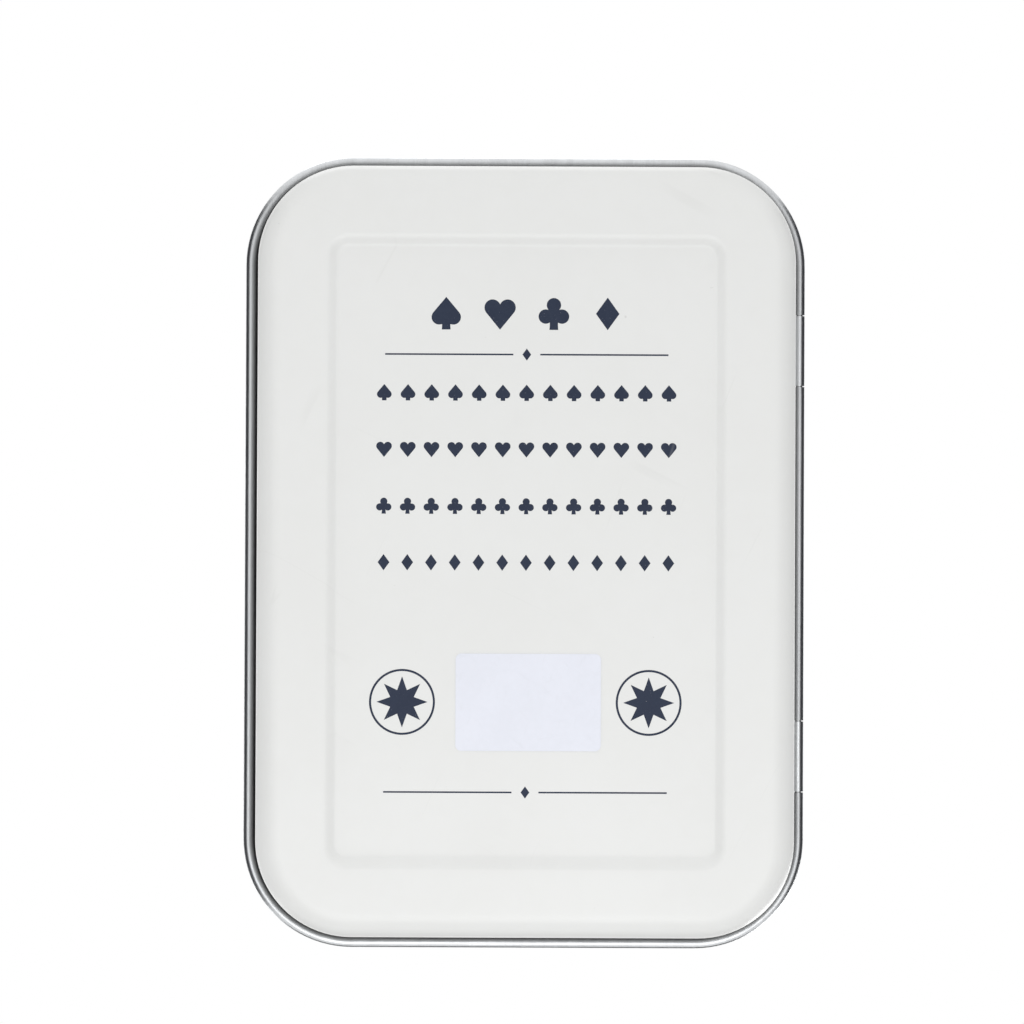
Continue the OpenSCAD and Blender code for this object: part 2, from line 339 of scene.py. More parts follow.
# white enamel on tinplate: cloudy film, orange peel, slack sheet, edges rubbed to the metal
def makeEnamel(name, rubReach, scratchAmount):
    look = dict(enamelLook, rubReach=rubReach, scratchAmount=scratchAmount)
    material, tree, shader, place = newMaterial(name)
    rub = rubbed(tree, place, look)
    scratch = scratched(tree, place, look)
    speckMask = ramp(tree, noise(tree, place, look["speckScale"], 1.0), 0.80, 0.86)
    speck = maths(tree, "MULTIPLY", speckMask, look["speckAmount"])
    marks = maths(tree, "ADD", speck, scratch, clamp=True)
    film = mixColour(tree, marks, mottled(tree, place, look)["Color"], look["dull"])
    smear = ramp(tree, noise(tree, place, look["smearScale"], 4.0, 0.6), 0.3, 0.7)
    rough = between(tree, smear, look["roughness"])
    wave = bump(tree, noise(tree, place, look["waveScale"], 1.0), look["waveHeight"])
    skin = peeled(tree, place, look, wave)
    cut = maths(tree, "ADD", rub, scratch)
    feed(tree, shader, {
        "Base Color": mixColour(tree, rub, film, look["metal"]),
        "Metallic": maths(tree, "MULTIPLY", rub, look["metallic"]),
        "Roughness": maths(tree, "MULTIPLY_ADD", scratch, look["scratchRoughness"], rough),
        "Specular IOR Level": look["specular"],
        "Coat Weight": look["coat"],
        "Coat Roughness": look["coatRoughness"],
        "Normal": bump(tree, cut, look["cutDepth"], look["cutStrength"], skin, invert=True),
    })
    return material


tinplateLook = {
    "colour": (0.70, 0.715, 0.73, 1),
    "tint": (0.60, 0.61, 0.62, 1),
    "cloudScale": 120.0,
    "cloudAmount": 0.2,
    "grainAlong": (1.0, 0.015, 1.0),
    "grainScale": 5200.0,
    "grainColour": (0.42, 0.43, 0.44, 1),
    "grainAmount": 0.25,
    "grainHeight": 0.000004,
    "scratchScale": 90.0,
    "scratchAmount": 0.4,
    "scratchRoughness": 0.1,
    # colour of the painted shade in the gap between the lid and the base
    "dirt": (0.03, 0.03, 0.032, 1),
    "dirtMetallic": -0.9,  # what full painted shade adds to the metallic value and to the roughness
    "dirtRoughness": 0.4,
    "roughness": (0.29, 0.34),
    "dieScale": 70.0,
    "dieAcross": 0.07,  # how quickly the die marks change over a millimetre across the rolled edge
    "dieHeight": 0.00001,
    "ripplePhase": 5.2,  # radians per millimetre round a corner
    "rippleScale": 260.0,
    "rippleStray": 16.0,
    "rippleHeight": 0.0000012,
}


# bare tinplate: grain of the rolled sheet, die marks along the rolled edge, fine puckers at its corners,
# and painted shade that darkens and dulls it in the gap beside the base
def makeTinplate():
    look = tinplateLook
    material, tree, shader, place = newMaterial("bareTinplate")
    cloud = mottled(tree, place, look)
    scratch = scratched(tree, place, look)
    # painted shade: the mesh marks where the tin lies in the gap beside the base, and there it is made dark
    # and dull
    dirt = attribute(tree, "dirt")
    metal, grain = grained(tree, place, look, cloud["Color"])
    dirtRough = maths(tree, "MULTIPLY_ADD", dirt, look["dirtRoughness"], look["roughness"][0])
    spreadRough = look["roughness"][1] - look["roughness"][0]
    rough = maths(tree, "MULTIPLY_ADD", cloud["Mask"], spreadRough, dirtRough)
    # the path runs across the rolled edge, so noise that is quick along it leaves lines round the tin
    split = put(tree, "ShaderNodeSeparateXYZ", {0: place}).outputs
    across = maths(tree, "MULTIPLY", attribute(tree, "path"), look["dieAcross"])
    diePlace = put(tree, "ShaderNodeCombineXYZ", {0: split[0], 1: split[1], 2: across}).outputs[0]
    die = bump(tree, noise(tree, diePlace, look["dieScale"], 4.0, 0.7), look["dieHeight"], normal=grain)
    phase = maths(tree, "MULTIPLY_ADD", noise(tree, place, look["rippleScale"]), look["rippleStray"],
                  maths(tree, "MULTIPLY", attribute(tree, "run"), look["ripplePhase"]))
    ripple = maths(tree, "MULTIPLY", maths(tree, "SINE", phase), attribute(tree, "turn"))
    feed(tree, shader, {
        "Base Color": mixColour(tree, dirt, metal, look["dirt"]),
        "Metallic": maths(tree, "MULTIPLY_ADD", dirt, look["dirtMetallic"], 1.0),
        "Roughness": maths(tree, "MULTIPLY_ADD", scratch, look["scratchRoughness"], rough),
        "Normal": bump(tree, ripple, look["rippleHeight"], normal=die),
    })
    return material


inkLook = {
    "colour": (0.013, 0.022, 0.050, 1),
    "tint": (0.022, 0.033, 0.064, 1),
    "cloudScale": 320.0,
    "cloudAmount": 0.7,
    "scratchScale": 70.0,
    "scratchAmount": 0.2,
    "pinholeScale": 5200.0,
    "pinholeAmount": 0.45,
    "worn": (0.45, 0.46, 0.47, 1),
    "roughness": (0.36, 0.48),
    "specular": 0.22,
    "peelScale": 1500.0,
    "peelFine": 0.3,
    "peelHeight": 0.000003,
}


# printing ink: thin, satin, a little uneven where it lies on the enamel
def makeInk():
    look = inkLook
    material, tree, shader, place = newMaterial("navyInk")
    film = mottled(tree, place, look)
    pinholes = ramp(tree, noise(tree, place, look["pinholeScale"]), 0.70, 0.76)
    worn = maths(tree, "MAXIMUM", scratched(tree, place, look),
                 maths(tree, "MULTIPLY", pinholes, look["pinholeAmount"]))
    feed(tree, shader, {
        "Base Color": mixColour(tree, worn, film["Color"], look["worn"]),
        "Roughness": between(tree, film["Mask"], look["roughness"]),
        "Specular IOR Level": look["specular"],
        "Normal": peeled(tree, place, look),
    })
    return material


plasticLook = {
    "colour": (0.020, 0.021, 0.024, 1),
    "tint": (0.034, 0.035, 0.038, 1),
    "cloudScale": 60.0,
    "cloudAmount": 0.4,
    "rubScale": 500.0,
    "rubReach": 0.55,
    "scratchScale": 80.0,
    "scratchAmount": 0.22,
    "scratchRoughness": 0.2,
    "pale": (0.16, 0.16, 0.165, 1),  # in scratches and on rubbed edges
    "paleAmount": 0.6,
    "roughness": (0.33, 0.39),
    "peelScale": 1900.0,
    "peelFine": 0.5,
    "peelHeight": 0.000006,
    "waveScale": 60.0,
    "waveHeight": 0.00016,
}


# vacuum-formed black plastic: soft haze, a faint skin, edges paled by the fingers
def makePlastic():
    look = plasticLook
    material, tree, shader, place = newMaterial("blackPlastic")
    haze = mottled(tree, place, look)
    scratch = scratched(tree, place, look)
    marks = maths(tree, "MAXIMUM", rubbed(tree, place, look), scratch)
    pale = maths(tree, "MULTIPLY", marks, look["paleAmount"])
    rough = between(tree, haze["Mask"], look["roughness"])
    wave = bump(tree, noise(tree, place, look["waveScale"]), look["waveHeight"])
    feed(tree, shader, {
        "Base Color": mixColour(tree, pale, haze["Color"], look["pale"]),
        "Roughness": maths(tree, "MULTIPLY_ADD", scratch, look["scratchRoughness"], rough),
        "Normal": peeled(tree, place, look, wave),
    })
    return material


leafletLook = {
    "colour": (0.84, 0.82, 0.76, 1),
    "tint": (0.76, 0.73, 0.66, 1),
    "cloudScale": 90.0,
    "cloudAmount": 0.5,
    "fibreScale": 1300.0,
    "fibreColour": (0.66, 0.64, 0.58, 1),
    "fibreAmount": 0.35,
    "fibreHeight": 0.00003,
    "roughness": (0.8, 0.9),
}

cardLook = {
    "colour": (0.87, 0.86, 0.82, 1),
    "tint": (0.80, 0.78, 0.72, 1),
    "cloudScale": 60.0,
    "cloudAmount": 0.5,
    "fibreScale": 900.0,
    "fibreColour": (0.72, 0.70, 0.66, 1),
    "fibreAmount": 0.2,
    "linenScale": 330.0,
    "linenHeight": 0.000012,
    "roughness": (0.34, 0.44),
}

# the label is cooler than the enamel round it
labelLook = {
    "colour": (0.795, 0.815, 0.895, 1),
    "tint": (0.74, 0.76, 0.83, 1),
    "cloudScale": 150.0,
    "cloudAmount": 0.4,
    "fibreScale": 1700.0,
    "fibreColour": (0.68, 0.70, 0.75, 1),
    "fibreAmount": 0.18,
    "fibreHeight": 0.00001,
    "rippleScale": 160.0,
    "rippleHeight": 0.00005,
    "roughness": (0.42, 0.54),
}


# fine linen cross weave that a card is embossed with, also under the ink on it
def linen(tree, place):
    inputs = {"Vector": place, "Scale": cardLook["linenScale"], "Distortion": 0.6, "Detail": 1.0}
    threads = []
    for along in "XY":
        wave = put(tree, "ShaderNodeTexWave", inputs, bands_direction=along)
        threads.append(wave.outputs["Fac"])
    return bump(tree, maths(tree, "MULTIPLY", threads[0], threads[1]), cardLook["linenHeight"])


# paper or card: mottled, its fibres a little darker and rougher, rippled or embossed where its look says so
def makePaper(name, look):
    material, tree, shader, place = newMaterial(name)
    fibre = useGroup(tree, place, "fibre", look, Scale="fibreScale")
    share = maths(tree, "MULTIPLY", fibre["Mask"], look["fibreAmount"])
    if "linenHeight" in look:
        normal = linen(tree, place)
    else:
        ripple = None
        if "rippleHeight" in look:
            ripple = bump(tree, noise(tree, place, look["rippleScale"]), look["rippleHeight"])
        normal = bump(tree, fibre["Height"], look["fibreHeight"], normal=ripple)
    feed(tree, shader, {
        "Base Color": mixColour(tree, share, mottled(tree, place, look)["Color"], look["fibreColour"]),
        "Roughness": between(tree, fibre["Mask"], look["roughness"]),
        "Normal": normal,
    })
    return material


cardInkLook = {
    "colour": (0.024, 0.040, 0.088, 1),
    "tint": (0.050, 0.072, 0.130, 1),
    "cloudScale": 260.0,
    "cloudAmount": 0.6,
    "roughness": (0.32, 0.42),
}


def makeCardInk():
    look = cardInkLook
    material, tree, shader, place = newMaterial("cardInk")
    film = mottled(tree, place, look)
    rough = between(tree, film["Mask"], look["roughness"])
    feed(tree, shader, {"Base Color": film["Color"], "Roughness": rough, "Normal": linen(tree, place)})
    return material


wireLook = {
    "colour": (0.56, 0.57, 0.58, 1),
    "tint": (0.38, 0.38, 0.38, 1),
    "cloudScale": 260.0,
    "cloudAmount": 0.6,
    "grainAlong": (1.0, 0.01, 1.0),
    "grainScale": 7000.0,
    "grainColour": (0.3, 0.3, 0.3, 1),
    "grainAmount": 0.3,
    "grainHeight": 0.000005,
    "roughness": (0.26, 0.41),
}


# drawn steel wire with lines along its length
def makeWire():
    look = wireLook
    material, tree, shader, place = newMaterial("wireSteel")
    shade = mottled(tree, place, look)
    metal, grain = grained(tree, place, look, shade["Color"])
    rough = between(tree, shade["Mask"], look["roughness"])
    feed(tree, shader, {"Base Color": metal, "Metallic": 1.0, "Roughness": rough, "Normal": grain})
    return material


materials = {
    "baseEnamel": makeEnamel("baseEnamel", rubReach=0.42, scratchAmount=0.08),
    "lidEnamel": makeEnamel("lidEnamel", rubReach=0.46, scratchAmount=0.10),
    "tinplate": makeTinplate(),
    "ink": makeInk(),
    "plastic": makePlastic(),
    "leaflet": makePaper("leafletPaper", leafletLook),
    "card": makePaper("cardStock", cardLook),
    "label": makePaper("labelPaper", labelLook),
    "cardInk": makeCardInk(),
    "wire": makeWire(),
}
print("materials made:", len(materials))


# mesh tools

# points and faces that gather into one piece, with the values that its materials read at each point
def newPile(markNames=()):
    return {"points": [], "faces": [], "slots": [], "marks": {name: [] for name in markNames}}


def addPoint(pile, place, **marks):
    pile["points"].append(place)
    for name, values in pile["marks"].items():
        values.append(marks.get(name, 0.0))
    return len(pile["points"]) - 1


def addFace(pile, face, slot=0):
    pile["faces"].append(face)
    pile["slots"].append(slot)


def addObject(name, data):
    thing = bpy.data.objects.new(name, data)
    bpy.context.scene.collection.objects.link(thing)
    return thing


# one mesh object from a pile, smooth but for edges sharper than the angle given
def meshObject(name, pile, materialNames, sharpAngle=38):
    mesh = bpy.data.meshes.new(name)
    mesh.from_pydata([Vector(point) * mm for point in pile["points"]], [], pile["faces"])
    for materialName in materialNames:
        mesh.materials.append(materials[materialName])
    mesh.polygons.foreach_set("material_index", pile["slots"])
    for key, values in pile["marks"].items():
        mesh.attributes.new(key, "FLOAT", "POINT").data.foreach_set("value", values)
    work = bmesh.new()
    work.from_mesh(mesh)
    bmesh.ops.recalc_face_normals(work, faces=work.faces)
    work.to_mesh(mesh)
    work.free()
    mesh.shade_smooth()
    mesh.set_sharp_from_angle(angle=math.radians(sharpAngle))
    return addObject(name, mesh)


def smooth(share):
    share = min(1.0, max(0.0, share))
    return share * share * (3 - 2 * share)


def spread(first, last, count):
    return [first + (last - first) * i / count for i in range(count + 1)]


# places on an arc round (x, y) between two angles
def arc(x, y, radius, start, end, count):
    turns = [math.radians(angle) for angle in spread(start, end, count)]
    return [(x + radius * math.cos(turn), y + radius * math.sin(turn)) for turn in turns]


# points turned about the origin, in radians, and then moved
def moved(points, dx, dy, turn=0.0):
    c, s = math.cos(turn), math.sin(turn)
    return [(x * c - y * s + dx, x * s + y * c + dy, *height) for x, y, *height in points]


# signs of x and y in the four quarters of an outline, round from the first
quarters = ((1, 1), (-1, 1), (-1, -1), (1, -1))


# a flat plate over an outline, closed all round
def prism(pile, outline, low, high):
    first, count = len(pile["points"]), len(outline)
    for z in (low, high):
        for x, y in outline:
            addPoint(pile, (x, y, z))
    addFace(pile, tuple(first + i for i in reversed(range(count))))
    addFace(pile, tuple(first + count + i for i in range(count)))
    for i in range(count):
        k = (i + 1) % count
        addFace(pile, (first + i, first + k, first + count + k, first + count + i))


# a line of even width along a closed outline, mitred at its corners
def band(pile, outline, width, low, high):
    first, count = len(pile["points"]), len(outline)
    for side in (-width / 2, width / 2):
        for z in (low, high):
            for i, (x, y) in enumerate(outline):
                (x0, y0), (x1, y1) = outline[i - 1], outline[(i + 1) % count]
                before, after = math.hypot(x - x0, y - y0), math.hypot(x1 - x, y1 - y)
                nx = (y - y0) / before + (y1 - y) / after
                ny = -(x - x0) / before - (x1 - x) / after
                mitre = 2 * side / (nx * nx + ny * ny)
                addPoint(pile, (x + nx * mitre, y + ny * mitre, z))
    a, b, c, d = (first + count * i for i in range(4))
    for i in range(count):
        k = (i + 1) % count
        for p, q in ((a, b), (c, d), (a, c), (b, d)):
            addFace(pile, (p + i, p + k, q + k, q + i))


# shells of tinplate: a shell has rings of paired points, on the outer and the inner face of the sheet,
# from its panel out to the end of its rolled edge, and every ring has one pair for each column

# columns of an outline, round from the middle of the +X side: kind, side or corner, and place there
def outlineColumns(sideStops, endStops):
    columns = []
    for turn, way in enumerate((1, -1, -1, 1)):
        stops = endStops if turn % 2 else sideStops
        columns += [("side", turn, way * stop) for stop in stops]
        columns += [("arc", turn, share) for share in spread(0.0, 1.0, tin["cornerSteps"])]
    middle = columns.index(("side", 0, 0.0))
    return columns[middle:] + columns[:middle]


# columns with stops at both edges of each lug and some between them
def shellColumns(half, count):
    lugStops = spread(tin["lugMiddle"] - half, tin["lugMiddle"] + half, count)
    sideStops = sorted([-y for y in lugStops] + list(tin["sideStops"]) + lugStops)
    return outlineColumns(sideStops, tin["endStops"])


# for each lug, the cells on the hinge side that lie within half its width
def lugCells(columns, half):
    lugs = []
    for middle in (-tin["lugMiddle"], tin["lugMiddle"]):
        inside = [kind == "side" and turn == 2 and abs(y - middle) < half + tiny
                  for kind, turn, y in columns]
        lugs.append([j for j in range(len(columns)) if inside[j] and inside[(j + 1) % len(columns)]])
    return lugs


# place of a column on an outline with this corner centre and radius
def columnPoint(column, corner, radius):
    kind, turn, value = column
    cx, cy = corner
    if kind == "side":
        x, y = cx + radius, cy + radius
        return ((x, value), (value, y), (-x, value), (value, -y))[turn]
    signX, signY = quarters[turn]
    angle = math.radians(90 * (turn + value))
    return (signX * cx + radius * math.cos(angle), signY * cy + radius * math.sin(angle))


# how far round a corner a column lies, and how much it counts as corner, which fades at both ends
def cornerRun(column, radius):
    kind, _, share = column
    if kind == "side":
        return 0.0, 0.0
    return share * radius * math.pi / 2, min(1.0, 5.0 * share * (1 - share))


def makeRing(corner, faces, wear, dirt=0.0):
    return {"corner": corner, "faces": faces, "wear": wear, "dirt": dirt}


# rings through pairs of points, with wear and painted shade as numbers or as functions of the share of the
# way
def ringsThrough(corner, pairs, wear, dirt=0.0):
    rings = []
    for i, pair in enumerate(pairs):
        share = i / (len(pairs) - 1) if i else 0.0
        rings.append(makeRing(corner, pair, wear(share) if callable(wear) else wear,
                              dirt(share) if callable(dirt) else dirt))
    return rings


# pairs of points on the two faces of the sheet along a bend about (radius, z)
def bendPairs(centre, outerR, innerR, start, end, count):
    return list(zip(arc(*centre, outerR, start, end, count), arc(*centre, innerR, start, end, count)))


# rings from the middle of a panel, down its soft step and out to the start of the bend
def panelRings(part, z, rise, inward, corner, bendRadius):
    run, gap = tin["stepRun"], tin["supportGap"]
    outer = part["panelRadius"] + tin["stepReach"]
    panelCorner = [half - part["panelRadius"] for half in part["panelHalf"]]

    def ring(where, radius, height, wear):
        return makeRing(where, ((radius, height), (radius, height + inward)), wear)

    rings = [ring(panelCorner, outer - run - 2 * gap, z + rise, 0.0)]
    for share in spread(0.0, 1.0, tin["stepSteps"]):
        crest = 1 - share
        height = z + rise * (1 + math.cos(math.pi * share ** tin["stepSkew"])) / 2
        rings.append(ring(panelCorner, outer - run * crest, height, tin["stepWear"] * crest ** 2))
    rings.append(ring(panelCorner, outer + 2 * gap, z, tin["ledgeWear"][0]))
    rings.append(ring(corner, bendRadius - gap, z, tin["ledgeWear"][1]))
    return rings


# the shell through its rings, with the cells of each cut left out
def sheetShell(rings, columns, moveX, cuts, cornerRadius):
    shell = newPile(("wear", "path", "run", "turn", "dirt"))
    shell["rows"] = ([], [])
    path = 0.0
    before = rings[0]["faces"][0]
    for ring in rings:
        path += math.dist(before, ring["faces"][0])
        before = ring["faces"][0]
        for rows, (radius, z) in zip(shell["rows"], ring["faces"]):
            row = []
            for column in columns:
                x, y = columnPoint(column, ring["corner"], radius)
                run, turn = cornerRun(column, cornerRadius)
                row.append(addPoint(shell, (x + moveX, y, z), wear=ring["wear"], path=path, run=run,
                                    turn=turn, dirt=ring["dirt"]))
            rows.append(row)

    def cutAt(i, j):
        return next((cut for cut in cuts if i in cut["rings"] and j in cut["columns"]), None)

    outer, inner = shell["rows"]
    last, count = len(rings) - 1, len(columns)
    for i in range(last):
        for j in range(count):
            if cutAt(i, j):
                continue
            k = (j + 1) % count
            for side, rows in enumerate(shell["rows"]):
                addFace(shell, (rows[i][j], rows[i + 1][j], rows[i + 1][k], rows[i][k]), side)
            # the sheet's edge is closed at the roll's end and beside a cut, but not where a lug goes on
            borders = (((i, (j - 1) % count), (i, j), (i + 1, j)), ((i, k), (i, k), (i + 1, k)),
                       ((i - 1, j), (i, j), (i, k)), ((i + 1, j), (i + 1, j), (i + 1, k)))
            for beside, (pi, pj), (qi, qj) in borders:
                cut = cutAt(*beside)
                lugGoesOn = cut and cut["lugRing"] == pi == qi
                if beside[0] == last or (cut and not lugGoesOn):
                    addFace(shell, (outer[pi][pj], outer[qi][qj], inner[qi][qj], inner[pi][pj]), 1)
    for side, rows in enumerate(shell["rows"]):
        addFace(shell, tuple(rows[0]), side)
    return shell


# base shell

base = {
    "halfWidth": baseHigh[0] - shiftX,
    "halfLength": baseHigh[1],
    "height": baseHigh[2],
    "cornerRadius": 13.6,
    "bend": 3.4,
    "bendWear": 0.75,
    "wallWear": 0.1,
    "rimDiameter": 1.4,
    "rimWear": 0.8,
    "panelHalf": (27.5, 43.9),
    "panelRadius": 2.4,
    "recess": 0.8,
    "lugWidth": 10.0,
    "lugFacets": 4,
    "lugWear": 0.5,
    "lugFoot": hingeZ + 0.2,  # height at which a lug leaves the wall
    "windowTop": baseHigh[2] - 1.8,  # top of the window that the lug is cut from
    "tabBend": 0.15,  # inner radius of the bend at a lug's foot
    "tabSteps": 6,
    "knuckleRadius": 0.75,
}


# most rubbed low on the bend, where the tin slides over a table
def baseBendWear(share):
    if share >= 0.6:
        return base["wallWear"]
    return base["bendWear"] * math.sin(math.pi * min(1.0, 1.6 * share + 0.1))


# most rubbed on top of the rim
def baseRimWear(share):
    return base["rimWear"] * math.sin(math.pi * min(1.0, 1.6 * share))


# a lug goes on from the wall's own points: out through the lid's slot, then round the wire
def addLug(shell, cut):
    sheet, tabR, knuckleR = tin["sheet"], base["tabBend"], base["knuckleRadius"]
    wallX = shiftX - base["halfWidth"]
    strapZ = hingeZ + knuckleR - sheet
    pairs = bendPairs((wallX - tabR, strapZ - tabR), tabR, tabR + sheet, 0, 90, base["tabSteps"])
    pairs += bendPairs((hingeX, hingeZ), knuckleR - sheet, knuckleR, 90, 90 + tin["rollSweep"],
                       tin["rollSteps"])
    stops = cut["columns"] + [cut["columns"][-1] + 1]
    rows = [[face[cut["lugRing"]][j] for j in stops] for face in shell["rows"]]
    path = 0.0
    before = pairs[0][1]
    for pair in pairs:
        path += math.dist(before, pair[1])
        before = pair[1]
        fresh = []
        for row, (x, z) in zip(rows, pair):
            fresh.append([addPoint(shell, (x, shell["points"][old][1], z), wear=base["lugWear"], path=path)
                          for old in row])
        for j in range(len(stops) - 1):
            for side in (0, 1):
                addFace(shell, (rows[side][j], fresh[side][j], fresh[side][j + 1], rows[side][j + 1]), side)
        for j in (0, -1):
            addFace(shell, (rows[0][j], fresh[0][j], fresh[1][j], rows[1][j]), 1)
        rows = fresh
    for j in range(len(stops) - 1):
        addFace(shell, (rows[0][j], rows[0][j + 1], rows[1][j + 1], rows[1][j]), 1)


def makeBaseShell():
    sheet, radius, bendR = tin["sheet"], base["cornerRadius"], base["bend"]
    corner = (base["halfWidth"] - radius, base["halfLength"] - radius)
    # the panel is recessed upwards into the tin, so its step falls towards the resting plane
    rings = panelRings(base, 0.0, base["recess"], sheet, corner, radius - bendR)
    bend = bendPairs((radius - bendR, bendR), bendR, bendR - sheet, 270, 360, tin["bendSteps"])
    rings += ringsThrough(corner, bend, baseBendWear)
    lugRing = len(rings)
    wall = [((radius, z), (radius - sheet, z)) for z in (base["lugFoot"], base["windowTop"])]
    rings += ringsThrough(corner, wall, base["wallWear"])
    rimR = base["rimDiameter"] / 2
    rim = bendPairs((radius - rimR, base["height"] - rimR), rimR, rimR - sheet, 0, tin["rollSweep"],
                    tin["rollSteps"])
    rings += ringsThrough(corner, rim, baseRimWear)
    half = base["lugWidth"] / 2
    columns = shellColumns(half, base["lugFacets"])
    cuts = [{"rings": [lugRing], "columns": cells, "lugRing": lugRing} for cells in lugCells(columns, half)]
    shell = sheetShell(rings, columns, shiftX, cuts, radius)
    for cut in cuts:
        addLug(shell, cut)
    piece = meshObject("baseTin", shell, ["baseEnamel", "tinplate"])
    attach(piece, "base")
    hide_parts("base_shell")
    return piece


baseTin = makeBaseShell()
print("base made:", len(baseTin.data.polygons), "faces")


# lid shell

lid = {
    "halfWidth": lidHigh[0],
    "halfLength": lidHigh[1],
    "cornerRadius": 15.5,
    "ledge": lidHigh[2] - 0.45,  # height of the flat round the raised panel
    "rise": 0.43,  # the print on the panel nearly brings it up to the full height
    "panelHalf": (30.5, 47.0),
    "panelRadius": 5.0,
    "bend": 2.2,
    "bendWear": 0.8,
    "wallWear": 0.15,
    "curlDiameter": 1.5,
    "curlWear": 0.3,
    "slotHalf": 5.15,
    "slotFacets": 2,
    "slotTop": hingeZ + 1.3,
    # painted shade on the lid's bare inner face, strongest where the gap between the lid and the base lies
    # in shade
    "bendPaintedShade": 0.45,  # painted shade inside the bend, at its lower end
    "wallPaintedShade": 0.8,
    "dirtReach": 0.41,  # share of the rolled edge that the painted shade in its groove reaches over
    "dirtDepth": 1.15,  # over 1, so that the painted shade is full for a little way
}


def lidBendWear(share):
    return lid["bendWear"] * math.sin(math.pi * (0.1 + 0.8 * share))


def lidBendPaintedShade(share):
    return lid["bendPaintedShade"] * share


# painted shade lies in the groove between the roll and the base, and thins out towards the roll's crest
def curlPaintedShade(share):
    return smooth(lid["dirtDepth"] * (1 - share / lid["dirtReach"]))


def makeLidShell():
    sheet, radius, bendR, curlR = tin["sheet"], lid["cornerRadius"], lid["bend"], lid["curlDiameter"] / 2
    corner = (lid["halfWidth"] - radius, lid["halfLength"] - radius)
    wallR = radius - 2 * curlR  # corner radius of the side's inner face
    bendCentre = (wallR + sheet - bendR, lid["ledge"] - bendR)
    rings = panelRings(lid, lid["ledge"], lid["rise"], -sheet, corner, bendCentre[0])
    bend = bendPairs(bendCentre, bendR, bendR - sheet, 90, 0, tin["bendSteps"])
    rings += ringsThrough(corner, bend, lidBendWear, lidBendPaintedShade)
    slotRing = len(rings)
    wall = ((wallR + sheet, lid["slotTop"]), (wallR, lid["slotTop"]))
    rings.append(makeRing(corner, wall, lid["wallWear"], lid["wallPaintedShade"]))
    curl = bendPairs((radius - curlR, hingeZ), curlR - sheet, curlR, 180, 180 + tin["rollSweep"],
                     tin["rollSteps"])
    rings += ringsThrough(corner, curl, lid["curlWear"], curlPaintedShade)
    columns = shellColumns(lid["slotHalf"], lid["slotFacets"])
    slots = range(slotRing, len(rings) - 1)
    cuts = [{"rings": slots, "columns": cells, "lugRing": None}
            for cells in lugCells(columns, lid["slotHalf"])]
    shell = sheetShell(rings, columns, 0.0, cuts, radius)
    piece = meshObject("lidTin", shell, ["lidEnamel", "tinplate"])
    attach(piece, "lid")
    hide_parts("lid_shell")
    return piece


lidTin = makeLidShell()
print("lid made:", len(lidTin.data.polygons), "faces")


# tray

tray = {
    "halfWidth": (trayHigh[0] - trayLow[0]) / 2,
    "halfLength": trayHigh[1],
    "cornerRadius": base["cornerRadius"] - tin["sheet"] - 0.3,  # 0.3 clear of the base's side
    "top": trayHigh[2],
    "skirtBottom": base["bend"],
    "thickness": 0.46,
    "pocketHalf": ((deckHigh[0] - deckLow[0]) / 2 + 0.5, deckHigh[1] + 0.5),  # 0.5 clear of the cards
    "pocketRadius": 4.0,
    "pocketFloor": 1.55,
    "wellX": 26.55,
    "wellRadius": 9.0,
    "wellFloor": trayHigh[2] - 12.0,
    "wellShoulder": 2.0,  # radius of the plastic between a well and the pocket's side
    "edge": 0.8,  # radius of the formed edges
    "edgeSteps": 6,
    "floorEdge": 0.6,  # and of the edge round the pocket's floor
    "floorSteps": 5,
    "wellSteps": 12,  # facets from a well's side over its floor to the pocket's side
    "planSteps": {"side": 5, "shoulder": 6, "well": 9, "end": 6, "corner": 10},
    "draft": 0.2,  # how much the pocket narrows down to its floor
    "support": 0.15,  # flat left beside a formed edge
    "rimWear": 0.6,
    "topWear": 0.1,
    "lipWear": (1.0, 0.25),  # from the top of the opening's edge to its foot
    "wellWear": 0.2,
}


# the plan of the tray at one level: the outer side, the opening with its wells, or the pocket alone
def trayPlan(kind, grow):
    steps = tray["planSteps"]
    halfX, halfY = tray["pocketHalf"]
    r, shoulder = tray["pocketRadius"], tray["wellShoulder"]
    wellR, wellX = tray["wellRadius"], tray["wellX"]
    shoulderX = halfX + shoulder
    shoulderY = math.sqrt((wellR + shoulder) ** 2 - (shoulderX - wellX) ** 2)
    wellAngle = math.degrees(math.atan2(shoulderY, shoulderX - wellX))
    lower = [(halfX + grow, y) for y in spread(r - halfY, -shoulderY, steps["side"])]
    lower += arc(shoulderX, -shoulderY, shoulder - grow, 180, 180 - wellAngle, steps["shoulder"])[1:]
    lower += arc(wellX, 0.0, wellR + grow, -wellAngle, 0, steps["well"])[1:]
    side = lower + [(x, -y) for x, y in reversed(lower[:-1])]
    if kind == "pocket":
        side = [(halfX + grow, y) for _, y in side]
    if kind == "outer":
        stretch = (tray["halfLength"] - tray["cornerRadius"]) / (halfY - r)
        halfX, halfY, r = tray["halfWidth"], tray["halfLength"], tray["cornerRadius"]
        side = [(halfX + grow, y * stretch) for _, y in side]
    cx, cy = halfX - r, halfY - r
    end = [(x, halfY + grow) for x in spread(cx, -cx, steps["end"])]
    half = side[:-1] + arc(cx, cy, r + grow, 0, 90, steps["corner"])[:-1]
    half += end[:-1] + arc(-cx, cy, r + grow, 90, 180, steps["corner"])[:-1]
    return half + [(-x, -y) for x, y in half]


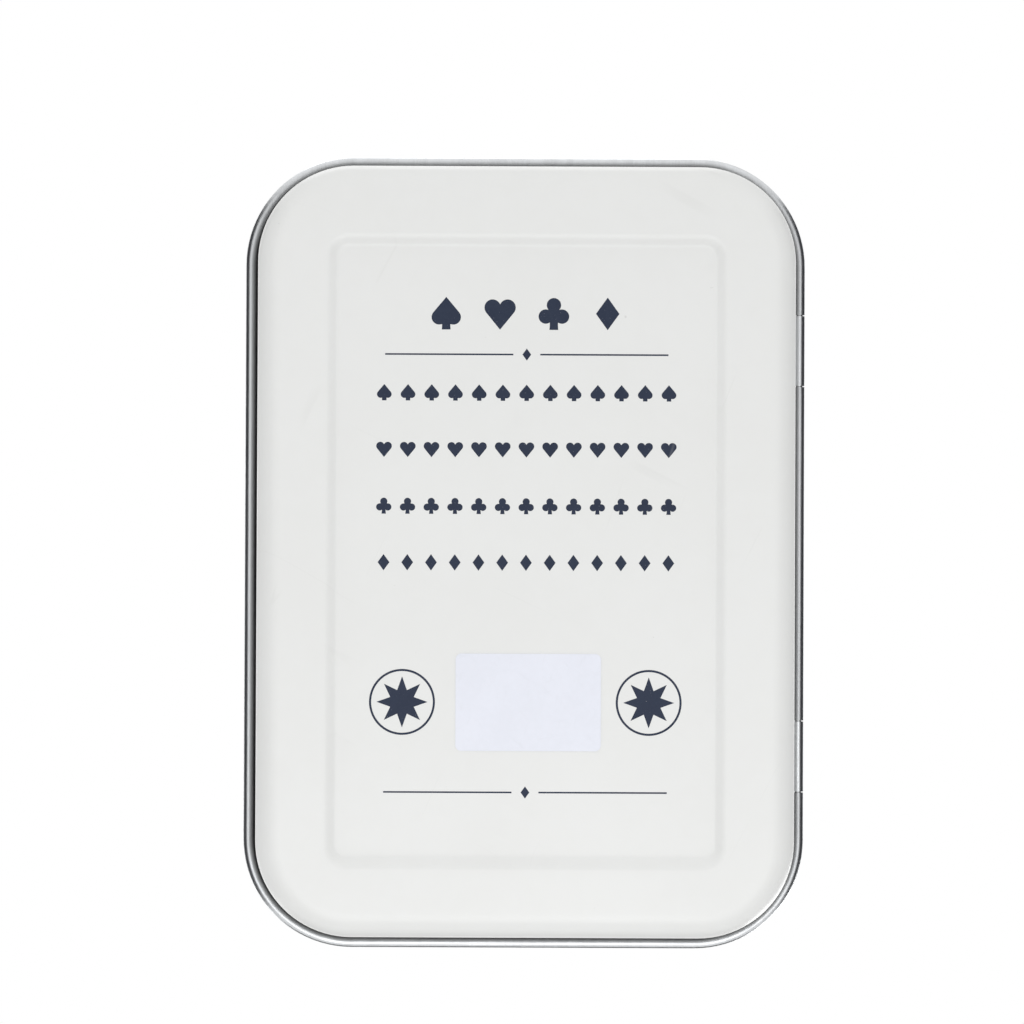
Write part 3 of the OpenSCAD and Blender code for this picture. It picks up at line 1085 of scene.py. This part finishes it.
# one point on the way down a well's side, over its floor and into the pocket: how far across it lies and
# its height, where the floor is this wide. Where there is no floor, the side runs plainly down.
def wellStep(share, width):
    edge, floor = tray["edge"], tray["wellFloor"]
    fillet = min(edge, width / 2)
    turn = math.radians(180 * share)
    drop = fillet * (1 - math.sin(turn))
    if share <= 0.5:
        across, z = fillet * (1 - math.cos(turn)), floor + drop
    else:
        across, z = width - fillet * (1 + math.cos(turn)), floor - drop
    plain = floor + edge * (1 - 2 * share)
    reach = across / width if width > tiny else 0.0
    return reach, plain + (z - plain) * smooth(width / (2 * edge))


def makeTray():
    edge, top, draft, support = tray["edge"], tray["top"], tray["draft"], tray["support"]
    edgeArc = arc(0, 0, edge, 0, 90, tray["edgeSteps"])
    rings = []

    def level(kind, grow, z, wear=0.0):
        rings.append(([(x, y, z) for x, y in trayPlan(kind, grow)], wear))

    level("outer", 0.0, tray["skirtBottom"])
    for out, up in edgeArc:
        level("outer", out - edge, top - edge + up, tray["rimWear"])
    # two rings on the flat top keep the rubbing and the shading of the edges beside the edges
    level("outer", -edge - support, top, tray["topWear"])
    level("opening", edge + support, top, tray["topWear"])
    for (out, up), wear in zip(edgeArc, spread(*tray["lipWear"], tray["edgeSteps"])):
        level("opening", edge - up, top - edge + out, wear)
    walls = list(zip(trayPlan("opening", -draft / 2), trayPlan("pocket", -draft / 2)))
    for share in spread(0.0, 1.0, tray["wellSteps"]):
        row = []
        for (ox, oy), (ix, iy) in walls:
            reach, z = wellStep(share, abs(ox - ix))
            row.append((ox + (ix - ox) * reach, oy + (iy - oy) * reach, z))
        rings.append((row, tray["wellWear"]))
    floorEdge = tray["floorEdge"]
    for out, up in arc(0, 0, floorEdge, 0, 90, tray["floorSteps"]):
        level("pocket", out - floorEdge - draft, tray["pocketFloor"] + floorEdge - up)

    pile = newPile(("wear",))
    rows = [[addPoint(pile, (x + shiftX, y, z), wear=wear) for x, y, z in row] for row, wear in rings]
    for row, below in zip(rows, rows[1:]):
        for j in range(len(row)):
            k = (j + 1) % len(row)
            addFace(pile, (row[j], row[k], below[k], below[j]))
    addFace(pile, tuple(rows[-1]))
    piece = meshObject("cardTray", pile, ["plastic"])
    thick = piece.modifiers.new("thickness", "SOLIDIFY")
    thick.thickness = tray["thickness"] * mm
    thick.offset = -1.0
    thick.use_even_offset = True
    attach(piece, "base")
    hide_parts("card_tray")
    return piece


cardTray = makeTray()
print("tray made:", len(cardTray.data.polygons), "faces")


# deck of cards

deck = {
    "halfWidth": (deckHigh[0] - deckLow[0]) / 2,
    "halfLength": deckHigh[1],
    "bottom": deckLow[2],
    "cornerRadius": 3.5,
    "cornerSteps": 7,
    "thickness": 0.28,
    "pitch": 0.29,
    "slip": 0.16,  # how far a card may lie off the middle of its pocket
    "twist": 0.08,  # and how far it may lie turned in it
    "seed": 52,
    # cards that stand for each node, from the bottom of the deck up
    "runs": {"cards_jokers": 2, "cards_clubs": 13, "cards_diamonds": 13, "cards_hearts": 13,
             "cards_spades": 13},
}


def cardOutline():
    r = deck["cornerRadius"]
    outline = []
    for quarter, (signX, signY) in enumerate(quarters):
        x, y = signX * (deck["halfWidth"] - r), signY * (deck["halfLength"] - r)
        outline += arc(x, y, r, 90 * quarter, 90 * quarter + 90, deck["cornerSteps"])
    return outline


# makes the deck and says how its top card lies
def makeDeck():
    chance = random.Random(deck["seed"])
    outline = cardOutline()
    z = deck["bottom"]
    for node, count in deck["runs"].items():
        pile = newPile()
        for _ in range(count):
            dx = chance.uniform(-1, 1) * deck["slip"]
            dy = chance.uniform(-1, 1) * deck["slip"]
            turn = math.radians(chance.uniform(-deck["twist"], deck["twist"]))
            prism(pile, moved(outline, dx + shiftX, dy, turn), z, z + deck["thickness"])
            topPlace = (dx + shiftX, dy, turn, z + deck["thickness"])
            z += deck["pitch"]
        piece = meshObject(node.replace("cards_", "deck_"), pile, ["card"])
        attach(piece, "base")
        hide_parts(node)
    return topPlace


topCard = makeDeck()
print("deck made:", sum(deck["runs"].values()), "cards")


# print

ink = {
    "thickness": 0.012,
    "sink": 0.004,  # how far it reaches into what it lies on
}

# each suit as circles and convex polygons, one unit from its middle to its top
stem = [(-0.07, 0.1), (-0.32, -1.0), (0.32, -1.0), (0.07, 0.1)]
suitShapes = {
    "spade": {
        "circles": [(0.44, -0.24, 0.46), (-0.44, -0.24, 0.46)],
        "polygons": [[(0, 1), (-0.815, 0.03), (0, -0.4), (0.815, 0.03)], stem],
    },
    "heart": {
        "circles": [(0.46, 0.36, 0.5), (-0.46, 0.36, 0.5)],
        "polygons": [[(0, -1), (0.849, 0.045), (0, 0.5), (-0.849, 0.045)]],
    },
    "club": {
        "circles": [(0, 0.52, 0.44), (0.5, -0.18, 0.44), (-0.5, -0.18, 0.44), (0, 0.05, 0.26)],
        "polygons": [stem],
    },
    "diamond": {
        "circles": [],
        "polygons": [[(0, 1), (-0.72, 0), (0, -1), (0.72, 0)]],
    },
}


# distance from the middle of a suit's shape to its edge in one direction, which is in radians
def suitReach(shape, angle):
    dx, dy = math.cos(angle), math.sin(angle)
    reach = 0.0
    for cx, cy, r in shape["circles"]:
        along = dx * cx + dy * cy
        inside = along * along - cx * cx - cy * cy + r * r
        if inside >= 0:
            reach = max(reach, along + math.sqrt(inside))
    for polygon in shape["polygons"]:
        crossings = []
        for (x0, y0), (x1, y1) in zip(polygon, polygon[1:] + polygon[:1]):
            nx, ny = y1 - y0, x0 - x1
            facing = nx * dx + ny * dy
            if facing > tiny:
                crossings.append((nx * x0 + ny * y0) / facing)
        reach = max(reach, min(crossings))
    return reach


# a suit's sign at (x, y), turned by radians
def suitOutline(suit, x, y, size, turn=0.0, steps=72):
    outline = []
    for angle in spread(0.0, 2 * math.pi, steps)[:-1]:
        reach = suitReach(suitShapes[suit], angle) * size
        outline.append((x + reach * math.cos(angle + turn), y + reach * math.sin(angle + turn)))
    return outline


def diamondOutline(x, y, size):
    return suitOutline("diamond", x, y, size, steps=4)


def starOutline(x, y, size, points, depth):
    outline = []
    for i in range(2 * points):
        reach = size * depth if i % 2 else size
        angle = math.pi * i / points + math.pi / 2
        outline.append((x + reach * math.cos(angle), y + reach * math.sin(angle)))
    return outline


def ringOutline(x, y, radius, steps=72):
    return arc(x, y, radius, 0, 360, steps)[:-1]


def boxOutline(halfW, halfL):
    return [(signX * halfW, signY * halfL) for signX, signY in quarters]


# an outline with its corners scooped out by quarter circles
def scoopedOutline(halfW, halfL, scoop, steps=10):
    outline = []
    for quarter, (signX, signY) in enumerate(quarters):
        start = 90 * quarter + 270
        outline += arc(signX * halfW, signY * halfL, scoop, start, start - 90, steps)
    return outline


def barOutline(x0, y0, x1, y1, width):
    length = math.hypot(x1 - x0, y1 - y0)
    nx, ny = -(y1 - y0) / length * width / 2, (x1 - x0) / length * width / 2
    return [(x0 - nx, y0 - ny), (x1 - nx, y1 - ny), (x1 + nx, y1 + ny), (x0 + nx, y0 + ny)]


# a layer of ink on a face that looks up (way 1) or down (way -1)
def newLayer(face, way):
    layer = newPile()
    layer["low"], layer["high"] = sorted((face - way * ink["sink"], face + way * ink["thickness"]))
    return layer


def stamp(layer, outline, lower=0.0):
    prism(layer, outline, layer["low"], layer["high"] - lower)


def drawLine(layer, outline, width):
    band(layer, outline, width, layer["low"], layer["high"])


# a rule across the middle, broken by a small diamond
def stampRule(layer, y, rule):
    for side in (-1, 1):
        stamp(layer, barOutline(side * rule["from"], y, side * rule["to"], y, rule["width"]))
    stamp(layer, diamondOutline(0, y, rule["diamond"]))


def layerPiece(name, layer, material, body):
    piece = meshObject(name, layer, [material], sharpAngle=30)
    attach(piece, body)


suits = ("spade", "heart", "club", "diamond")

basePrint = {
    "suitRow": 33.6,  # distance from the middle of the tin to the row of four suits
    "suitSize": 2.3,
    "suitPitch": 7.6,
    "pipRows": (22.4, 14.4, 6.4, -1.6),  # one row of thirteen small pips for each suit
    "pips": 13,
    "pipSize": 1.15,
    "pipPitch": 3.35,
    "starPlace": (17.4, -21.3),
    "star": (3.6, 8, 0.5),  # size, points and depth
    "starRing": (4.5, 0.3),  # radius and line width
    "ruleRows": (27.8, -34.0),
    "rule": {"from": 1.9, "to": 20.0, "width": 0.22, "diamond": 0.85},
}


# places in a row round the middle, from right to left, as the underside is read from below
def rowPlaces(count, pitch):
    return [((count - 1) / 2 - i) * pitch for i in range(count)]


# the deck told without words: its four suits, thirteen pips for each of them, and a star for each joker
def makeBasePrint():
    p = basePrint
    layer = newLayer(base["recess"], -1)
    for suit, x, pipRow in zip(suits, rowPlaces(len(suits), p["suitPitch"]), p["pipRows"]):
        stamp(layer, suitOutline(suit, x, p["suitRow"], p["suitSize"]))
        for pipX in rowPlaces(p["pips"], p["pipPitch"]):
            stamp(layer, suitOutline(suit, pipX, pipRow, p["pipSize"], steps=48))
    for y in p["ruleRows"]:
        stampRule(layer, y, p["rule"])
    x, y = p["starPlace"]
    radius, width = p["starRing"]
    for side in (-1, 1):
        stamp(layer, starOutline(side * x, y, *p["star"]))
        drawLine(layer, ringOutline(side * x, y, radius), width)
    layer["points"] = moved(layer["points"], shiftX, 0.0)
    layerPiece("basePrint", layer, "ink", "base")


lidPrint = {
    # half width, half length, scoop and line width of its two rules
    "rules": ((27.2, 43.6, 5.2, 0.55), (25.7, 42.1, 5.8, 0.2)),
    "cornerPip": 1.7,
    "cornerInset": 1.1,
    "medallion": ((15.5, 0.5), (14.4, 0.2)),  # radius and line width of its two rings
    "suitSize": 3.9,
    "suitReach": 7.9,
    "star": (2.2, 8, 0.42),  # size, points and depth
    "spark": (1.1, 4, 0.35),
    "sparkReach": 10.6,
    "ruleRows": (-22.5, 22.5),
    "rule": {"from": 1.7, "to": 11.5, "width": 0.3, "diamond": 1.0},
}


# a scooped double rule, a pip in each of its corners, and the four suits in a round medallion
def makeLidPrint():
    p = lidPrint
    layer = newLayer(lid["ledge"] + lid["rise"], 1)
    for halfW, halfL, scoop, width in p["rules"]:
        drawLine(layer, scoopedOutline(halfW, halfL, scoop), width)
    pipX, pipY = (half - p["cornerInset"] for half in p["rules"][0][:2])
    for suit, (signX, signY) in zip(suits, ((-1, 1), (1, 1), (-1, -1), (1, -1))):
        turn = 0.0 if signY > 0 else math.pi
        stamp(layer, suitOutline(suit, signX * pipX, signY * pipY, p["cornerPip"], turn, 48))
    for radius, width in p["medallion"]:
        drawLine(layer, ringOutline(0, 0, radius, steps=120), width)
    for suit, (x, y) in zip(suits, arc(0, 0, p["suitReach"], 90, -180, 3)):
        stamp(layer, suitOutline(suit, x, y, p["suitSize"], steps=96))
    stamp(layer, starOutline(0, 0, *p["star"]))
    for x, y in arc(0, 0, p["sparkReach"], 45, 315, 3):
        stamp(layer, starOutline(x, y, *p["spark"]))
    for y in p["ruleRows"]:
        stampRule(layer, y, p["rule"])
    layerPiece("lidPrint", layer, "ink", "lid")


cardBack = {
    "halfWidth": 24.6,
    "halfLength": 40.1,
    "rule": 0.6,
    "inset": 1.0,  # distance of the inner rule from the outer one
    "line": 0.34,
    "lattice": 2.9,  # distance between the lattice's lines
    "shortest": 1.0,  # lines shorter than this are left out
    "diamond": 0.72,
    "diamondMargin": 1.2,
    "crossing": 0.001,  # how much lower the lines of the second direction lie
}


# lines of the lattice in one direction, y = slope * x + n * cell, cut off at the inner rule
def latticeLines(slope, cell, reach, halfW, halfL):
    lines = []
    for n in range(-reach, reach + 1):
        atSides = [(x, slope * x + n * cell) for x in (-halfW, halfW)]
        atEnds = [(slope * (y - n * cell), y) for y in (-halfL, halfL)]
        ends = [end for end in atSides if abs(end[1]) <= halfL]
        ends += [end for end in atEnds if abs(end[0]) < halfW]
        if len(ends) == 2 and math.dist(*ends) > cardBack["shortest"]:
            lines.append(ends)
    return lines


# a diagonal lattice with a small diamond in each of its cells, inside a rule, on the top card's back
def makeCardBack(dx, dy, turn, z):
    p = cardBack
    layer = newLayer(z, 1)
    halfW, halfL = p["halfWidth"] - p["inset"], p["halfLength"] - p["inset"]
    drawLine(layer, boxOutline(p["halfWidth"], p["halfLength"]), p["rule"])
    drawLine(layer, boxOutline(halfW, halfL), p["line"])
    cell = p["lattice"] * math.sqrt(2)
    reach = int((halfW + halfL) / cell) + 1
    for slope, lower in ((1, 0.0), (-1, p["crossing"])):
        for start, end in latticeLines(slope, cell, reach, halfW, halfL):
            stamp(layer, barOutline(*start, *end, p["line"]), lower)
    for i in range(-reach, reach + 1):
        for j in range(-reach, reach + 1):
            x, y = (i - j) * cell / 2, (i + j + 1) * cell / 2
            if abs(x) < halfW - p["diamondMargin"] and abs(y) < halfL - p["diamondMargin"]:
                stamp(layer, diamondOutline(x, y, p["diamond"]))
    layer["points"] = moved(layer["points"], dx, dy, turn)
    layerPiece("cardBackPrint", layer, "cardInk", "base")


makeBasePrint()
makeLidPrint()
makeCardBack(*topCard)
print("print made")


# pieces that keep their own shape, with the material and the slot of each
keptPieces = {
    "hinge_wire": ("wire", "bare_tinplate"),
    "rules_leaflet": ("leaflet", "leaflet_paper"),
    "back_label": ("label", "label_paper"),
}

for node, (material, slot) in keptPieces.items():
    keptPiece = frame["nodes"][node]
    keptPiece.data.materials.clear()
    keptPiece.data.materials.append(materials[material])


# studio, in metres

studio = {
    "floorRadius": 0.9,
    "floorDrop": 0.0002,
    "floorFade": (0.95, 0.3),  # shares of the radius between which the floor comes in
    "floorTones": ((0.83, 0.83, 0.83, 1), (0.75, 0.75, 0.75, 1)),
    "floorGrainScale": 700.0,
    "floorGrain": 0.03,  # share of the second tone where the grain is full
    # ends of each flag seen from above, and its lowest and highest edge
    "flags": (((-0.30, -0.26), (-0.30, 0.26), -0.32, 0.34), ((0.30, -0.26), (0.30, 0.26), -0.32, 0.34),
              ((-0.26, -0.34), (0.26, -0.34), 0.06, 0.34)),
    "flagColour": (0.02, 0.022, 0.026, 1),
}

# strength of the world above and below: at the horizon beyond the sides and beyond the ends, the height at
# which it is full, its full strength, and how much brighter it is towards the +Y end
sky = {
    "above": {"sides": 0.30, "ends": 0.78, "fullHeight": 0.6, "full": 0.64, "lean": 0.0},
    "below": {"sides": 0.88, "ends": 1.04, "fullHeight": 0.35, "full": 0.935, "lean": 0.15},
}


# white to the eye and in reflections, plain light otherwise
def makeWorld():
    world = bpy.data.worlds.new("studioWorld")
    bpy.context.scene.world = world
    tree = clearTree(world)
    rays = put(tree, "ShaderNodeLightPath").outputs
    seen = maths(tree, "MAXIMUM", maths(tree, "MAXIMUM", rays["Is Camera Ray"], rays["Is Glossy Ray"]),
                 rays["Is Transmission Ray"])
    direction = put(tree, "ShaderNodeTexCoord").outputs["Generated"]
    split = put(tree, "ShaderNodeSeparateXYZ", {0: direction}).outputs
    endwise = maths(tree, "MULTIPLY", split[1], split[1])
    light = 0.0
    for sign, part in ((1, sky["above"]), (-1, sky["below"])):
        height = maths(tree, "MULTIPLY", split[2], sign)
        rise = ramp(tree, height, 0.0, part["fullHeight"])
        horizon = between(tree, endwise, (part["sides"], part["ends"]))
        toFull = maths(tree, "MULTIPLY", rise, maths(tree, "SUBTRACT", part["full"], horizon))
        level = maths(tree, "MULTIPLY_ADD", split[1], part["lean"], maths(tree, "ADD", horizon, toFull))
        half = maths(tree, "MULTIPLY", level, maths(tree, "GREATER_THAN", height, 0.0))
        light = maths(tree, "ADD", half, light)
    strength = maths(tree, "MAXIMUM", seen, light)
    background = put(tree, "ShaderNodeBackground", {"Color": (1, 1, 1, 1), "Strength": strength})
    put(tree, "ShaderNodeOutputWorld", {0: background.outputs[0]})


# one flat face, for the floor and the flags
def flatPiece(name, corners, material):
    mesh = bpy.data.meshes.new(name)
    mesh.from_pydata(corners, [], [(0, 1, 2, 3)])
    mesh.materials.append(material)
    return addObject(name, mesh)


# a pale floor that shows and takes shadow from above, and lets light from below through
def makeFloor():
    radius = studio["floorRadius"]
    material = bpy.data.materials.new("floorPaper")
    tree = clearTree(material)
    rays = put(tree, "ShaderNodeLightPath").outputs
    behind = put(tree, "ShaderNodeNewGeometry").outputs["Backfacing"]
    place = put(tree, "ShaderNodeTexCoord").outputs["Object"]
    far = put(tree, "ShaderNodeVectorMath", {0: place}, operation="LENGTH").outputs["Value"]
    near = ramp(tree, far, *[radius * share for share in studio["floorFade"]])
    front = maths(tree, "SUBTRACT", 1.0, behind)
    shown = maths(tree, "MULTIPLY", maths(tree, "MULTIPLY", rays["Is Camera Ray"], front), near)
    fibres = noise(tree, place, studio["floorGrainScale"], 4.0)
    grain = maths(tree, "MULTIPLY", fibres, studio["floorGrain"])
    paper = put(tree, "ShaderNodeBsdfDiffuse", {"Color": mixColour(tree, grain, *studio["floorTones"])})
    clear = put(tree, "ShaderNodeBsdfTransparent")
    mixed = put(tree, "ShaderNodeMixShader", {0: shown, 1: clear.outputs[0], 2: paper.outputs[0]})
    put(tree, "ShaderNodeOutputMaterial", {0: mixed.outputs[0]})
    corners = [(x, y, -studio["floorDrop"]) for x, y in boxOutline(radius, radius)]
    floor = flatPiece("floor", corners, material)


# dark cards beyond both sides and one end, seen only in reflections, that give the bare rim dark edges
def makeFlags():
    material = bpy.data.materials.new("flagCard")
    tree = clearTree(material)
    dark = put(tree, "ShaderNodeEmission", {"Color": studio["flagColour"], "Strength": 1.0})
    put(tree, "ShaderNodeOutputMaterial", {0: dark.outputs[0]})
    for (x0, y0), (x1, y1), low, high in studio["flags"]:
        flag = flatPiece("flag", [(x0, y0, low), (x1, y1, low), (x1, y1, high), (x0, y0, high)], material)
        flag.visible_camera = False
        flag.visible_diffuse = False
        flag.visible_shadow = False
        flag.visible_transmission = False


# power in watts; a lamp lights surfaces and shines in them, unless it says otherwise
lamps = {
    "belowShine": {"place": (0.0, -0.22, -0.50), "size": 0.40, "power": 0.85, "lights": False},
    "belowFront": {"place": (0.0, -0.12, -0.25), "size": 0.12, "power": 0.04},
    "belowEnd": {"place": (0.0, -0.20, -0.06), "size": 0.08, "power": 0.024, "shines": False},
    "aboveLeft": {"place": (-0.55, -0.45, 0.70), "size": 0.45, "power": 2.6},
    "aboveRight": {"place": (0.65, -0.25, 0.60), "size": 0.60, "power": 1.2},
    "aboveBack": {"place": (0.10, 0.70, 0.55), "size": 0.50, "power": 0.9},
}


# each lamp points at the tin
def makeLamps():
    for name, settings in lamps.items():
        data = bpy.data.lights.new(name, "AREA")
        data.shape = "SQUARE"
        data.size = settings["size"]
        data.energy = settings["power"]
        lamp = addObject(name, data)
        lamp.location = settings["place"]
        lamp.rotation_mode = "QUATERNION"
        lamp.rotation_quaternion = (-Vector(settings["place"])).to_track_quat("-Z", "Y")
        lamp.visible_camera = False
        lamp.visible_diffuse = settings.get("lights", True)
        lamp.visible_glossy = settings.get("shines", True)


shot = {
    "distance": 0.900,  # metres from the camera to the rolled edge
    "place": (5.2, -11.0),  # the camera, seen along the tin's own axes
    "aim": (1.80, 5.79),  # where it looks, in the plane of the rolled edge
    "lens": 221.10,
    "roll": 0.25,
}


# the camera looks up at the underside, with the hinge on the right
def makeCamera():
    data = bpy.data.cameras.new("camera")
    data.lens = shot["lens"]
    data.sensor_width = 36.0
    data.clip_start = 0.01
    camera = addObject("camera", data)
    plane = hingeZ * mm
    here = Vector((shot["place"][0] * mm, shot["place"][1] * mm, plane - shot["distance"]))
    there = Vector((shot["aim"][0] * mm, shot["aim"][1] * mm, plane))
    back = (here - there).normalized()
    right = Vector((0, 1, 0)).cross(back).normalized()
    basis = Matrix((right, back.cross(right), back)).transposed()
    turned = basis @ Matrix.Rotation(math.radians(shot["roll"]), 3, "Z")
    camera.matrix_world = Matrix.Translation(here) @ turned.to_4x4()
    bpy.context.scene.camera = camera


makeWorld()
makeFloor()
makeFlags()
makeLamps()
makeCamera()
bpy.context.scene.view_settings.view_transform = "Standard"

print("scene ready")
